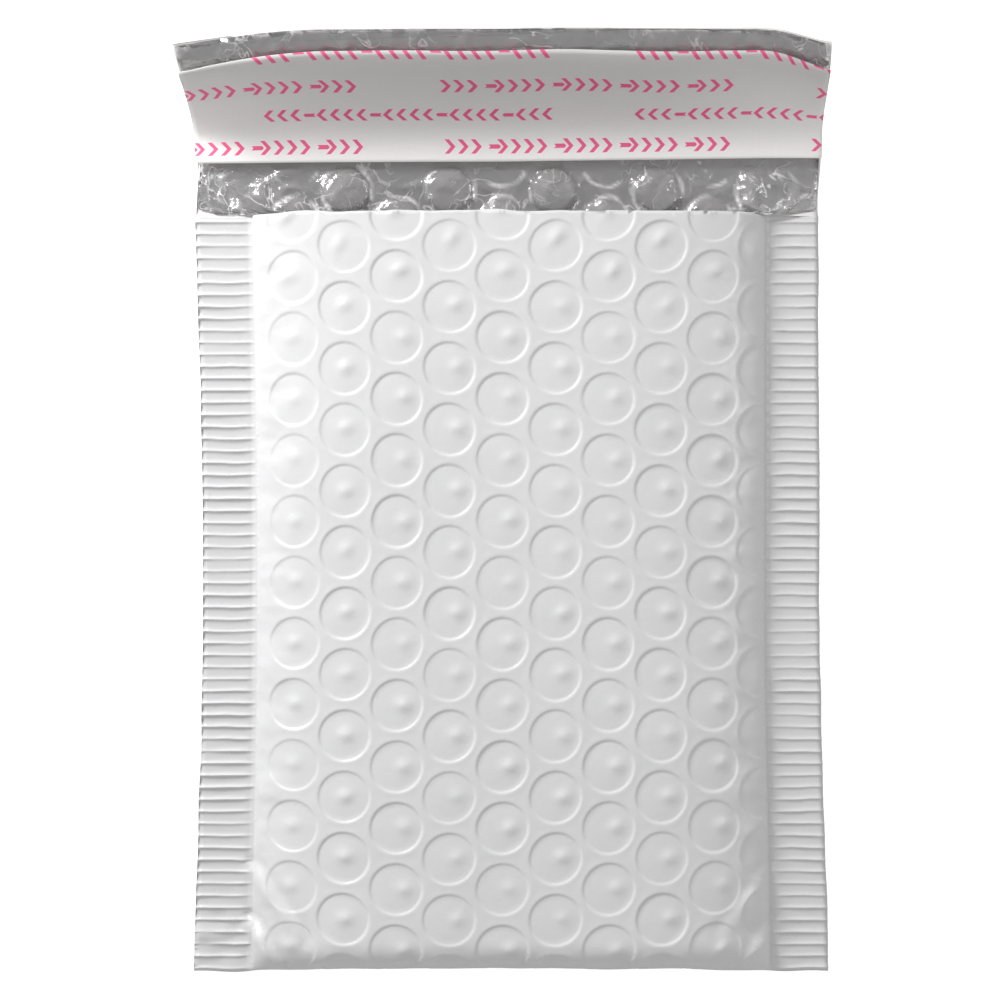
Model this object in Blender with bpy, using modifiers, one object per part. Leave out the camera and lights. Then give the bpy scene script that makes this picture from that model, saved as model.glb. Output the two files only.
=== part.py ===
"""A padded postal envelope: a folded plastic film pouch, side-sealed and lined with bubble
film, lying on its back with the closing flap open and curled up off the surface.

Run with:  blender --background --factory-startup --python part.py

Metres, +Z up. X runs across the envelope and +Y from the bottom fold towards the flap. The
origin is the centre of the footprint, on the surface that the envelope lies on.
"""

import math

import bmesh
import bpy
from mathutils import Matrix, Vector
from mathutils.geometry import delaunay_2d_cdt

# Envelope
WIDTH = 0.120
BODY_LENGTH = 0.1445
SEAL_WIDTH = 0.0107
SEAL_THICKNESS = 0.0009
SEAL_LEVEL = 0.0030
WALL_STEP = 0.0012
FOOT_RUN = 0.0070

# Layers, from the outside in
FILM = 0.00055
LAYER_GAP = 0.0003
LINING_SHEET = 0.0003
BUBBLE_HEIGHT = 0.0024
POCKET_GAP = 0.0051

# Bubble pattern
BUBBLE_DIAMETER = 0.0096
BUBBLE_PITCH = 0.0115
BUBBLE_COLUMNS = 9
BUBBLE_TAPER = 0.0012
FIRST_COLUMN = 0.0079
FIRST_ROW = 0.0123
DENT_DEPTH = 0.00025
DENT_WALL = 0.0006
BACK_DENT_DEPTH = 0.0003

# Ribs pressed into the side seals
RIB_PITCH = 0.0023
RIB_HEIGHT = 0.0004

# Flap, from the mouth of the pouch to the tip
FLAP_FLAT = 0.0102
CURL_RADIUS = 0.0120
CURL_ANGLE = math.radians(58)
FLAP_STRAIGHT = 0.0100
TIP_RADIUS = 0.0120
FLAP_LENGTH = 0.0400
FLAP_FILM = 0.0005

# Closure
LINING_PAST_MOUTH = 0.0100
LINER_START = 0.0105
LINER_WIDTH = 0.0236
LINER_THICKNESS = 0.0003
LINER_INSET = 0.0003
ADHESIVE_WIDTH = 0.0120
ADHESIVE_THICKNESS = 0.0003
ADHESIVE_START = 0.0160
PRINT_LINE = 0.0024
PRINT_SPACING = 0.0068
PRINT_FIRST = 0.0018
PRINT_LENGTH = 0.0572
PRINT_PERIOD = 0.0700
PRINT_START = -0.0462
PRINT_SHIFT = 0.0350

# Facets
FRONT_DENT_SIDES = 8
BACK_DENT_SIDES = 6
CAP_SIDES = 6
FOOT_STEPS = (0.0, 0.06, 0.22, 0.55, 1.0)
CURL_STEP = 0.0024
MOUTH_STEP = 0.00001
OVERSHOOT = 0.0010

# Worked out from the sizes above
SEAL_EDGE = WIDTH / 2 - SEAL_WIDTH
PADDING = FILM + LAYER_GAP + LINING_SHEET + BUBBLE_HEIGHT
CROWN = 2 * PADDING + POCKET_GAP
COLUMN_PITCH = BUBBLE_PITCH * math.sin(math.radians(60))
BUBBLE_RADIUS = BUBBLE_DIAMETER / 2
STRIPS_LEFT = FIRST_COLUMN - SEAL_EDGE - COLUMN_PITCH / 2
STRIPS = tuple(STRIPS_LEFT + COLUMN_PITCH * i for i in range(BUBBLE_COLUMNS + 1))
COLUMNS = (-SEAL_EDGE, WALL_STEP - SEAL_EDGE, *STRIPS, -STRIPS_LEFT, SEAL_EDGE - WALL_STEP, SEAL_EDGE)
CURL_LENGTH = CURL_RADIUS * CURL_ANGLE
TIP_START = FLAP_FLAT + CURL_LENGTH + FLAP_STRAIGHT


def flap_line(s):
    """Distance out, height and slope of the flap's outer face, s along it from the mouth."""
    if s <= FLAP_FLAT:
        return s, 0.0, 0.0
    angle = min(s - FLAP_FLAT, CURL_LENGTH) / CURL_RADIUS
    out = FLAP_FLAT + CURL_RADIUS * math.sin(angle)
    up = CURL_RADIUS * (1 - math.cos(angle))
    if s <= FLAP_FLAT + CURL_LENGTH:
        return out, up, angle
    straight = min(s - FLAP_FLAT - CURL_LENGTH, FLAP_STRAIGHT)
    out += straight * math.cos(angle)
    up += straight * math.sin(angle)
    if s <= TIP_START:
        return out, up, angle
    turned = angle - (s - TIP_START) / TIP_RADIUS
    out += TIP_RADIUS * (math.sin(angle) - math.sin(turned))
    up += TIP_RADIUS * (math.cos(turned) - math.cos(angle))
    return out, up, turned


FLAP_RUN = flap_line(FLAP_LENGTH)[0]
FOLD_Y = -(BODY_LENGTH + FLAP_RUN) / 2
MOUTH_Y = FOLD_Y + BODY_LENGTH
TIP_S = MOUTH_Y + FLAP_LENGTH


def rise(share):
    """Quarter ellipse from 0 at an edge to 1 on the flat of the panel."""
    share = min(max(share, 0.0), 1.0)
    return math.sqrt(1 - (1 - share) ** 2)


def arch(x):
    """Share of the full puff across the front panel: 0 at the seals, 1 in the middle."""
    return max(0.0, 1 - (x / SEAL_EDGE) ** 4) ** 0.625


def back_arch(x):
    """Share of the full puff across the back panel, which lies flat between its walls."""
    return rise((SEAL_EDGE - abs(x)) / (SEAL_EDGE + STRIPS_LEFT))


def across(profile, x, inset):
    """The profile at x, as straight lines between the columns, with its ends drawn in by inset."""
    stops = [-SEAL_EDGE + inset, *COLUMNS[1:-1], SEAL_EDGE - inset]
    if not stops[0] < x < stops[-1]:
        return 0.0
    i = next(n for n, stop in enumerate(stops) if stop >= x)
    low, high = (profile(COLUMNS[n]) for n in (i - 1, i))
    return low + (high - low) * (x - stops[i - 1]) / (stops[i] - stops[i - 1])


def foot(y, inset):
    """Share of the full puff along the pouch: 0 at the bottom fold, 1 past its curve."""
    return rise((y - FOLD_Y - inset) / (FOOT_RUN - inset))


def front_face(x, y, inset=0.0, edge=SEAL_THICKNESS / 2):
    """Point on the front panel, inset below its outer face."""
    low = SEAL_LEVEL + edge
    share = across(arch, x, inset)
    top = low + (CROWN - low) * share - inset * min(1.0, 8 * share)
    return Vector((x, y, low + (top - low) * foot(y, inset)))


def back_face(x, y, inset=0.0, edge=SEAL_THICKNESS / 2):
    """Point on the back panel, inset above its outer face."""
    high = SEAL_LEVEL - edge
    return Vector((x, y, high - (high - inset) * across(back_arch, x, inset) * foot(y, inset)))


def flap_face(x, s, lift=0.0):
    """Point on the flap, s along it from the mouth and lift above its outer face."""
    out, up, slope = flap_line(s)
    lift += back_face(x, MOUTH_Y).z * (1 - rise(s / FLAP_FLAT))
    return Vector((x, MOUTH_Y + out - lift * math.sin(slope), up + lift * math.cos(slope)))


def back_or_flap(x, y, inset=0.0):
    """Point on the back panel or, past the mouth, on the flap that continues it."""
    if y > MOUTH_Y:
        return flap_face(x, y - MOUTH_Y, inset)
    return back_face(x, y, inset)


def bubble_centres(low, high):
    """Centres of the bubbles that lie whole between two distances along the envelope."""
    centres = []
    for column in range(BUBBLE_COLUMNS):
        x = STRIPS_LEFT + COLUMN_PITCH * (column + 0.5)
        y = MOUTH_Y - FIRST_ROW + BUBBLE_PITCH * (2 - 0.5 * (column % 2))
        while y - BUBBLE_RADIUS > low:
            if y + BUBBLE_RADIUS < high and abs(y - MOUTH_Y) > BUBBLE_RADIUS:
                centres.append((x, y))
            y -= BUBBLE_PITCH
    return centres


def evenly(start, end, step):
    """Numbers from start to end, both included, about step apart."""
    count = max(1, round(abs(end - start) / step))
    return [start + (end - start) * i / count for i in range(count + 1)]


def rib_stations():
    """Distances along the seal of the rib crests and hollows, and how high each one is."""
    half = RIB_PITCH / 2
    count = int(BODY_LENGTH / half - 0.5)
    rows = [(MOUTH_Y - i * half, RIB_HEIGHT / 2 * (-1) ** i) for i in range(count + 1)]
    return [*rows, (FOLD_Y, 0.0)]


def foot_rows(inset):
    """Distances along the pouch of the lines that shape its bottom fold."""
    return [FOLD_Y + inset + (FOOT_RUN - inset) * share for share in FOOT_STEPS]


def flap_stations(start, end):
    """Distances along the flap of the lines that shape its curl, from start to end."""
    curl = evenly(FLAP_FLAT, FLAP_FLAT + CURL_LENGTH, CURL_STEP)
    tip = evenly(TIP_START, FLAP_LENGTH, CURL_STEP)
    between = [s for s in [*curl, *tip] if start + MOUTH_STEP < s < end - MOUTH_STEP]
    return [start, *between, end]


class Plan:
    """Flat layout of one face of a sheet: points with their place in space, and fixed edges."""

    def __init__(self):
        self.flat = []
        self.places = []
        self.edges = []
        self.taken = {}

    def add(self, x, v, place):
        key = (round(x, 7), round(v, 7))
        if key not in self.taken:
            self.taken[key] = len(self.flat)
            self.flat.append(Vector((x, v)))
            self.places.append(place)
        return self.taken[key]

    def link(self, indices, closed=False):
        ends = indices[1:] + indices[:1] if closed else indices[1:]
        self.edges += [(a, b) for a, b in zip(indices, ends)]

    def ring(self, x, v, radius, sides, place):
        """A closed ring of points round x, v."""
        turns = [2 * math.pi * i / sides for i in range(sides)]
        spots = [(x + radius * math.cos(a), v + radius * math.sin(a)) for a in turns]
        self.link([self.add(*spot, place(*spot)) for spot in spots], closed=True)

    def frame(self, left, right, low, high):
        """Fixes the border, through the points that lie on it."""
        spots = list(enumerate(self.flat))
        self.link([i for _, i in sorted((p.x, i) for i, p in spots if abs(p.y - low) < 1e-7)])
        self.link([i for _, i in sorted((p.y, i) for i, p in spots if abs(p.x - right) < 1e-7)])
        self.link([i for _, i in sorted((-p.x, i) for i, p in spots if abs(p.y - high) < 1e-7)])
        self.link([i for _, i in sorted((-p.y, i) for i, p in spots if abs(p.x - left) < 1e-7)])

    def build(self, mesh, up):
        """Triangulates the layout inside its fixed border and adds it to mesh."""
        found = delaunay_2d_cdt(self.flat, self.edges, [], 1, 1e-8)
        verts = [mesh.verts.new(self.places[o[0]]) for o in found[3]]
        for face in found[2]:
            mesh.faces.new([verts[i] for i in (face if up else reversed(face))])
        return {tuple(self.flat[o[0]]): v for o, v in zip(found[3], verts)}


def clear_of(centres, x, y):
    """True where x, y lies outside every bubble."""
    reach = (BUBBLE_RADIUS + 0.0001) ** 2
    return all((x - cx) ** 2 + (y - cy) ** 2 > reach for cx, cy in centres)


def lay_rows(plan, rows, columns, place):
    """Adds straight lines of points across the layout."""
    for y in rows:
        plan.link([plan.add(x, y, place(x, y)) for x in columns])


def lay_grid(plan, rows, columns, place):
    """Adds a grid of points, with every cell split along the same diagonal."""
    lines = [[plan.add(x, y, place(x, y)) for x in columns] for y in rows]
    for line in [*lines, *zip(*lines)]:
        plan.link(list(line))
    for line, after in zip(lines, lines[1:]):
        for start, end in zip(line, after[1:]):
            plan.link([start, end])


def lay_columns(plan, rows, columns, place):
    """Adds straight lines of points along the layout, one point to each row."""
    for x in columns:
        plan.link([plan.add(x, y, place(x, y)) for y in rows])


def film_plan(panel, past_mouth, crests, bubbles, dent):
    """Layout of one outer face of the film: ribbed seals, panel with its dents, and flap."""
    plan = Plan()
    for y, crest in rib_stations() if crests else [(MOUTH_Y, 0.0), (FOLD_Y, 0.0)]:
        for side in (-1, 1):
            lift = Vector((0, 0, crest if crests else 0.0))
            plan.link([plan.add(side * x, y, panel(side * x, y) + lift) for x in (SEAL_EDGE, WIDTH / 2)])
    lay_grid(plan, foot_rows(0.0), COLUMNS, panel)
    lay_rows(plan, [MOUTH_Y], COLUMNS, panel)
    lay_columns(plan, [foot_rows(0.0)[-1], MOUTH_Y], COLUMNS, panel)
    for x, y in bubbles:
        dent(plan, x, y)
    sides = (-WIDTH / 2, *COLUMNS, WIDTH / 2)
    lay_rows(plan, [MOUTH_Y + MOUTH_STEP], sides, past_mouth)
    lay_rows(plan, [MOUTH_Y + FLAP_FLAT * share for share in (0.12, 0.45)], sides, past_mouth)
    beyond = (-WIDTH / 2, -SEAL_EDGE, 0.0, SEAL_EDGE, WIDTH / 2)
    lay_rows(plan, [MOUTH_Y + s for s in flap_stations(FLAP_FLAT, FLAP_LENGTH)], beyond, past_mouth)
    plan.frame(-WIDTH / 2, WIDTH / 2, FOLD_Y, MOUTH_Y + FLAP_LENGTH)
    return plan


def front_dent(plan, x, y):
    """A flat-bottomed dent where a bubble draws the front film in."""
    sunk = Vector((0, 0, DENT_DEPTH))
    plan.ring(x, y, BUBBLE_RADIUS, FRONT_DENT_SIDES, front_face)
    plan.ring(x, y, BUBBLE_RADIUS - DENT_WALL, FRONT_DENT_SIDES, lambda *p: front_face(*p) - sunk)


def back_dent(plan, x, y):
    """A shallow dish where a bubble draws the back film in."""
    plan.ring(x, y, BUBBLE_RADIUS, BACK_DENT_SIDES, back_or_flap)
    plan.add(x, y, back_or_flap(x, y, BACK_DENT_DEPTH))


def close_rim(mesh, upper, lower, left, right, low, high):
    """Walls between the borders of two faces that share one outline."""
    for key, fixed, up in ((1, low, 1), (0, right, 1), (1, high, -1), (0, left, -1)):
        rims = []
        for face in (upper, lower):
            on_side = [(p[1 - key], v) for p, v in face.items() if abs(p[key] - fixed) < 1e-7]
            rims.append([v for _, v in sorted(on_side, key=lambda one: one[0] * up)])
        over, under = rims
        if len(over) == len(under):
            for a, b, c, d in zip(over, over[1:], under[1:], under):
                mesh.faces.new([b, a, d, c])
        else:
            mesh.faces.new([*reversed(over), *under])


def material(name, colour, roughness, alpha=1.0):
    made = bpy.data.materials.new(name)
    made.use_nodes = True
    made.diffuse_color = (*colour, alpha)
    shader = made.node_tree.nodes["Principled BSDF"]
    shader.inputs["Base Color"].default_value = (*colour, 1.0)
    shader.inputs["Roughness"].default_value = roughness
    shader.inputs["Metallic"].default_value = 0.0
    shader.inputs["Alpha"].default_value = alpha
    return made


def add_object(name, mesh, collection, materials=()):
    """Turns a bmesh into a named object in a collection."""
    data = bpy.data.meshes.new(name)
    mesh.to_mesh(data)
    mesh.free()
    for one in materials:
        data.materials.append(one)
    made = bpy.data.objects.new(name, data)
    collection.objects.link(made)
    return made


def cut_or_join(target, other, operation):
    """A Boolean modifier that leaves the other object out of the render."""
    modifier = target.modifiers.new(operation.lower(), "BOOLEAN")
    modifier.operation = operation
    modifier.solver = "EXACT"
    modifier.object = other
    other.hide_render = True
    other.display_type = "WIRE"


def thicken(target, thickness, material_offset=0):
    """A Solidify modifier that grows against the faces' normals."""
    modifier = target.modifiers.new("thickness", "SOLIDIFY")
    modifier.thickness = thickness
    modifier.offset = -1
    modifier.material_offset = material_offset


def make_pocket(collection, materials):
    """Cutter for the room inside the film, which runs out through the mouth."""
    mesh = bmesh.new()
    end = MOUTH_Y + OVERSHOOT
    columns = (FILM - SEAL_EDGE, *COLUMNS[1:-1], SEAL_EDGE - FILM)
    faces = []
    for face in (front_face, back_face):

        def place(x, y):
            past = max(y - MOUTH_Y, 0)
            return face(x, min(y, MOUTH_Y), FILM, LAYER_GAP / 4) + Vector((0, past, past / 4))

        plan = Plan()
        lay_grid(plan, foot_rows(FILM), columns, place)
        lay_rows(plan, [MOUTH_Y, end], columns, place)
        plan.frame(columns[0], columns[-1], FOLD_Y + FILM, end)
        faces.append(plan.build(mesh, face is front_face))
    close_rim(mesh, *faces, columns[0], columns[-1], FOLD_Y + FILM, end)
    for one in mesh.faces:
        one.material_index = 1
    return add_object("pocket_cutter", mesh, collection, materials)


def make_outer_film(parts, cutters, white, grey):
    """The film pouch: front, bottom fold, back and flap in one folded sheet, sealed at its sides."""

    def flap_inside(x, y):
        return flap_face(x, y - MOUTH_Y, FLAP_FILM)

    clear = FOLD_Y + FOOT_RUN
    bubbles = bubble_centres(clear, MOUTH_Y)
    mesh = bmesh.new()
    upper = film_plan(front_face, flap_inside, True, bubbles, front_dent).build(mesh, True)
    for face in mesh.faces:
        face.material_index = int(face.calc_center_median().y > MOUTH_Y)
    lower = film_plan(back_face, back_or_flap, False, bubbles, back_dent).build(mesh, False)
    close_rim(mesh, upper, lower, -WIDTH / 2, WIDTH / 2, FOLD_Y, MOUTH_Y + FLAP_LENGTH)
    film = add_object("outer_film", mesh, parts, (white, grey))
    cut_or_join(film, make_pocket(cutters, (white, grey)), "DIFFERENCE")


def lining_place(x, v, inset):
    """Point on the lining. v is 0 at the fold, falls along the front and grows along the back."""
    y = FOLD_Y + abs(v) + inset * max(0.0, 1 - abs(v) / FOOT_RUN)
    if v < 0:
        return front_face(x, y, inset, 0.0)
    if y > MOUTH_Y:
        return flap_face(x, y - MOUTH_Y, inset)
    return back_face(x, y, inset, 0.0)


def cap_height(x):
    """Height of a bubble's cap, lower where the pouch closes towards its seals."""
    outer = abs(x) + BUBBLE_RADIUS
    room = front_face(outer, 0.0).z - 2 * (PADDING - BUBBLE_HEIGHT)
    return min(BUBBLE_HEIGHT, (room - 2 * LAYER_GAP) / 2)


def make_lining(parts, clear_film):
    """Bubble film folded once at the bottom, its caps towards the pocket."""
    outside = FILM + LAYER_GAP
    inside = outside + LINING_SHEET
    body = MOUTH_Y - FOLD_Y
    columns = (*STRIPS, -STRIPS_LEFT)
    rows = [row - FOLD_Y for row in foot_rows(0.0)[1:]]
    past = body + LINING_PAST_MOUTH
    mesh = bmesh.new()
    faces = []
    for inset in (inside, outside):
        plan = Plan()

        def place(x, v):
            return lining_place(x, v, inset)

        lay_grid(plan, [0.0, *rows], columns, place)
        lay_grid(plan, [0.0, *[-row for row in rows]], columns, place)
        lay_rows(plan, [-body, body, body + MOUTH_STEP, past], columns, place)
        lay_columns(plan, [rows[-1], body], columns, place)
        lay_columns(plan, [-body, -rows[-1]], columns, place)
        if inset == inside:
            for x, y in bubble_centres(FOLD_Y + FOOT_RUN, MOUTH_Y + LINING_PAST_MOUTH):
                for v in (FOLD_Y - y, y - FOLD_Y):
                    if v > -body + BUBBLE_RADIUS:
                        cap(plan, x, v, inside)
        plan.frame(columns[0], columns[-1], -body, past)
        faces.append(plan.build(mesh, inset == inside))
    close_rim(mesh, *faces, columns[0], columns[-1], -body, past)
    return add_object("bubble_lining", mesh, parts, (clear_film,))


def cap(plan, x, v, inside):
    """A bubble: a ring at the sheet and a smaller ring at the top of its cap."""
    high = inside + cap_height(x)
    plan.ring(x, v, BUBBLE_RADIUS, CAP_SIDES, lambda *p: lining_place(*p, inside))
    plan.ring(x, v, BUBBLE_RADIUS - BUBBLE_TAPER, CAP_SIDES, lambda *p: lining_place(*p, high))


def make_strip(name, parts, spans, lift, thickness, materials, marks=()):
    """A thin strip that follows the curl of the flap, lift above the flap's outer face."""
    left, right, start, end = spans
    mesh = bmesh.new()
    faces = []
    plain = [s for s in flap_stations(start, end) if not any(c < s < d for _, _, c, d in marks)]
    lines = sorted({*plain, *[s for mark in marks for s in mark[2:]]})
    for level in (lift + thickness, lift):
        plan = Plan()

        def place(x, s):
            return flap_face(x, s, level)

        lay_rows(plan, lines, (left, 0.0, right), place)
        if level > lift:
            for x0, x1, s0, s1 in marks:
                box = ((x0, s0), (x1, s0), (x1, s1), (x0, s1))
                plan.link([plan.add(x, s, place(x, s)) for x, s in box], closed=True)
        plan.frame(left, right, start, end)
        faces.append(plan.build(mesh, level > lift))
        if level > lift:
            flat = {v: p for p, v in faces[0].items()}
            for face in mesh.faces:
                x, s = (sum(flat[v][n] for v in face.verts) / len(face.verts) for n in (0, 1))
                face.material_index = int(any(a < x < b and c < s < d for a, b, c, d in marks))
    close_rim(mesh, *faces, left, right, start, end)
    return add_object(name, mesh, parts, materials)


def print_marks(left, right, start, end):
    """Blocks of print in rows along the liner, every other row shifted, cut off at its edges."""
    marks = []
    for row in range(4):
        low = start + PRINT_FIRST + PRINT_SPACING * row
        x = PRINT_START + PRINT_SHIFT * (row % 2) - PRINT_PERIOD
        while x < right:
            box = (max(x, left), min(x + PRINT_LENGTH, right), low, min(low + PRINT_LINE, end))
            if box[1] - box[0] > PRINT_LINE and box[3] > box[2]:
                marks.append(box)
            x += PRINT_PERIOD
    return marks


def scene_collection(name):
    made = bpy.data.collections.new(name)
    bpy.context.scene.collection.children.link(made)
    return made


def main():
    for old in list(bpy.data.objects):
        bpy.data.objects.remove(old)
    parts = scene_collection("padded_envelope")
    cutters = scene_collection("cutters")
    white = material("white_film", (0.80, 0.80, 0.80), 0.38)
    grey = material("grey_film_inside", (0.30, 0.30, 0.31), 0.42)
    clear_film = material("clear_bubble_film", (0.62, 0.63, 0.66), 0.18)
    glue = material("adhesive", (0.72, 0.66, 0.50), 0.30)
    paper = material("liner_paper", (0.72, 0.70, 0.69), 0.62)
    ink = material("liner_print", (0.68, 0.10, 0.22), 0.60)
    make_outer_film(parts, cutters, white, grey)
    make_lining(parts, clear_film)
    stripe = (LINER_INSET - WIDTH / 2 + 0.004, WIDTH / 2 - LINER_INSET - 0.004)
    lift = FILM + LAYER_GAP
    spans = (*stripe, ADHESIVE_START, ADHESIVE_START + ADHESIVE_WIDTH)
    make_strip("adhesive_strip", parts, spans, lift, ADHESIVE_THICKNESS, (glue,))
    lift += ADHESIVE_THICKNESS + LAYER_GAP
    spans = (LINER_INSET - WIDTH / 2, WIDTH / 2 - LINER_INSET, LINER_START, LINER_START + LINER_WIDTH)
    make_strip("release_liner", parts, spans, lift, LINER_THICKNESS, (paper, ink), print_marks(*spans))


main()
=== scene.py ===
import math

import bmesh
import bpy
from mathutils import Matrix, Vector, noise
from mathutils.geometry import delaunay_2d_cdt


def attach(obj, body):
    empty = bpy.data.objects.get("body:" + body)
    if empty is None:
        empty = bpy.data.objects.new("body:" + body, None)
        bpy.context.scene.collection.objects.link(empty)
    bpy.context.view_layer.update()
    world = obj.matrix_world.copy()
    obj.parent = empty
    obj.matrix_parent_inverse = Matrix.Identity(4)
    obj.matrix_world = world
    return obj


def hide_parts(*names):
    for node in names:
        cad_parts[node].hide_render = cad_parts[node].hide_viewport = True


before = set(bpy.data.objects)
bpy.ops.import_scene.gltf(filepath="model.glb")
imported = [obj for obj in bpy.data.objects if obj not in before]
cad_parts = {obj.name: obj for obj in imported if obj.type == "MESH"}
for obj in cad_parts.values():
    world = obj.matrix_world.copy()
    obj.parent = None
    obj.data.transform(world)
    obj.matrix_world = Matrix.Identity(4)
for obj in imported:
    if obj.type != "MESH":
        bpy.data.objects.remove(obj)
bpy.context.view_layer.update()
print("frame loaded")

# the room: camera straight above, soft light from the upper left, white all round
room = {
    "cameraHeight": 0.400,
    "cameraX": -0.0020,
    "cameraY": 0.0022,
    "lens": 74.6,
    "keyPlace": (-0.30, 0.31, 0.23),
    "keyPower": 2.35,
    "keySize": 0.20,
    "fillPlace": (0.30, 0.04, 0.28),
    "fillPower": 0.17,
    "fillSize": 0.10,
    "worldStrength": 0.46,
    "worldColour": (0.985, 0.985, 0.99, 1),
    "floorSize": 6,
    "floorColour": (0.9, 0.9, 0.9, 1),
    "floorGlow": 0.70,
}


def areaLight(name, place, target, size, power):
    lamp = bpy.data.lights.new(name, "AREA")
    lamp.shape = "DISK"
    lamp.size = size
    lamp.energy = power
    holder = bpy.data.objects.new(name, lamp)
    holder.location = place
    holder.rotation_euler = (Vector(target) - Vector(place)).to_track_quat("-Z", "Y").to_euler()
    bpy.context.scene.collection.objects.link(holder)


def makeCamera(scene):
    camera = bpy.data.objects.new("camera", bpy.data.cameras.new("camera"))
    camera.location = (room["cameraX"], room["cameraY"], room["cameraHeight"])
    camera.data.lens = room["lens"]
    camera.data.clip_start = 0.01
    scene.collection.objects.link(camera)
    scene.camera = camera
    scene.view_settings.view_transform = "Standard"


def makeRoom():
    scene = bpy.context.scene
    makeCamera(scene)
    areaLight("key", room["keyPlace"], (0, 0, 0), room["keySize"], room["keyPower"])
    areaLight("fill", room["fillPlace"], (0, 0, 0), room["fillSize"], room["fillPower"])
    makeWorld(scene)
    makeFloor()


def makeWorld(scene):
    # the camera sees plain white, and everything else is lit by a dimmer one
    world = bpy.data.worlds.new("pale_room")
    scene.world = world
    world.use_nodes = True
    nodes, links = world.node_tree.nodes, world.node_tree.links
    backdrop = nodes["Background"]
    backdrop.inputs["Color"].default_value = room["worldColour"]
    backdrop.inputs["Strength"].default_value = room["worldStrength"]
    seen = nodes.new("ShaderNodeBackground")
    seen.inputs["Color"].default_value = (1, 1, 1, 1)
    seen.inputs["Strength"].default_value = 1.0
    path = nodes.new("ShaderNodeLightPath")
    mix = nodes.new("ShaderNodeMixShader")
    links.new(path.outputs["Is Camera Ray"], mix.inputs["Fac"])
    links.new(backdrop.outputs["Background"], mix.inputs[1])
    links.new(seen.outputs["Background"], mix.inputs[2])
    links.new(mix.outputs["Shader"], nodes["World Output"].inputs["Surface"])


def makeFloor():
    # a pale floor that keeps the shadow and glows a little for the camera only
    bpy.ops.mesh.primitive_plane_add(size=room["floorSize"], location=(0, 0, 0))
    floor = bpy.context.object
    floor.name = "floor"
    paint = bpy.data.materials.new("floor_paint")
    paint.use_nodes = True
    shader = paint.node_tree.nodes["Principled BSDF"]
    shader.inputs["Base Color"].default_value = room["floorColour"]
    shader.inputs["Roughness"].default_value = 0.9
    shader.inputs["Specular IOR Level"].default_value = 0.1
    seenBy = paint.node_tree.nodes.new("ShaderNodeLightPath")
    glow = paint.node_tree.nodes.new("ShaderNodeMath")
    glow.operation = "MULTIPLY"
    glow.inputs[1].default_value = room["floorGlow"]
    paint.node_tree.links.new(seenBy.outputs["Is Camera Ray"], glow.inputs[0])
    paint.node_tree.links.new(glow.outputs[0], shader.inputs["Emission Strength"])
    shader.inputs["Emission Color"].default_value = (1, 1, 1, 1)
    floor.data.materials.append(paint)


# the envelope's sizes in metres; pairs marked -1 and 1 are for the left and the right side
envelope = {
    "width": 0.120,
    "bodyLength": 0.1445,
    "foldY": -0.0880,
    "sealEdge": 0.0493,
    "sealLevel": 0.0030,
    "sealHalf": 0.00045,
    "crown": 0.0122,
    "crownDrop": 0.00045,
    "thinnest": 0.00003,
    "noseRun": 0.0010,
    "backRun": 0.0030,
    "footRun": 0.0070,
    "filmThick": 0.0005,
    "bubblePitch": 0.0115,
    "bubbleRadius": 0.0048,
    "firstColumn": -0.0414,
    "firstRow": 0.0123,
    "ribPitch": 0.0023,
    "ribHeight": 0.00042,
    "flickPlace": (-0.0580, 0.0062),
    "flickHeight": 0.0009,
    "crumpleHeight": 0.00040,
    "dentDepth": 0.00027,
    "lipHeight": 0.00007,
    "domeHeight": 0.00014,
    "nubHeight": 0.00050,
    "slackHeight": 0.00030,
    "tuckHeight": 0.00045,
    "gatherHeight": 0.00022,
    "waist": {-1: 0.0012, 1: 0.0009},
    "footSpread": {-1: 0.0006, 1: 0.0009},
    "mouthPull": {-1: 0.0003, 1: 0.0010},
    "flapLength": 0.0400,
    "flapStretch": 1.03,
    "flapFlat": 0.0102,
    "curlRadius": 0.0120,
    "curlAngle": 58,  # degrees
    "tipStart": 0.0323,
    "tipRadius": 0.0120,
    "flapCorners": (0.075, 0.065),
    "flapLean": -0.0016,
    "flapSpread": 0.012,
    "flapWave": 0.0004,
}
mouthY = envelope["foldY"] + envelope["bodyLength"]
columnPitch = envelope["bubblePitch"] * math.sin(math.radians(60))
halfWidth = envelope["width"] / 2
panelHalf = envelope["sealEdge"] - 0.0005
tolerance = 1e-7


def smooth(low, high, value):
    # 0 at low and 1 at high, with an easy start and end
    share = min(max((value - low) / (high - low), 0.0), 1.0)
    return share * share * (3 - 2 * share)


def rise(share):
    # a quarter round, steep at 0 and level at 1
    share = min(max(share, 0.0), 1.0)
    return math.sqrt(1 - (1 - share) ** 2)


def ripple(x, y, size, seed=0.0):
    # smooth noise with waves of about the given size
    return noise.noise(Vector((x / size, y / size, seed)))


def bubbleCentres(low, high, left, right):
    # columns of bubbles, every other one half a pitch lower
    found = []
    for column in range(-1, 11):
        x = envelope["firstColumn"] + columnPitch * column
        y = mouthY - envelope["firstRow"] + envelope["bubblePitch"] * (3 - 0.5 * (column % 2))
        while y > low:
            if y < high and left < x < right:
                found.append((x, y))
            y -= envelope["bubblePitch"]
    return found


# how far out and up the flap has come at each step of its length, and its slope there
flapTable = []
flapStep = 0.0002


def fillFlapTable():
    out, up = 0.0, 0.0
    count = int(envelope["flapLength"] * 1.10 / flapStep) + 1
    most = math.radians(envelope["curlAngle"])
    for i in range(count + 1):
        s = i * flapStep
        turn = min(max(s - envelope["flapFlat"], 0.0) / envelope["curlRadius"], most)
        slope = turn - max(s - envelope["tipStart"], 0.0) / envelope["tipRadius"]
        flapTable.append((out, up, slope))
        out += math.cos(slope) * flapStep
        up += math.sin(slope) * flapStep


fillFlapTable()


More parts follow.
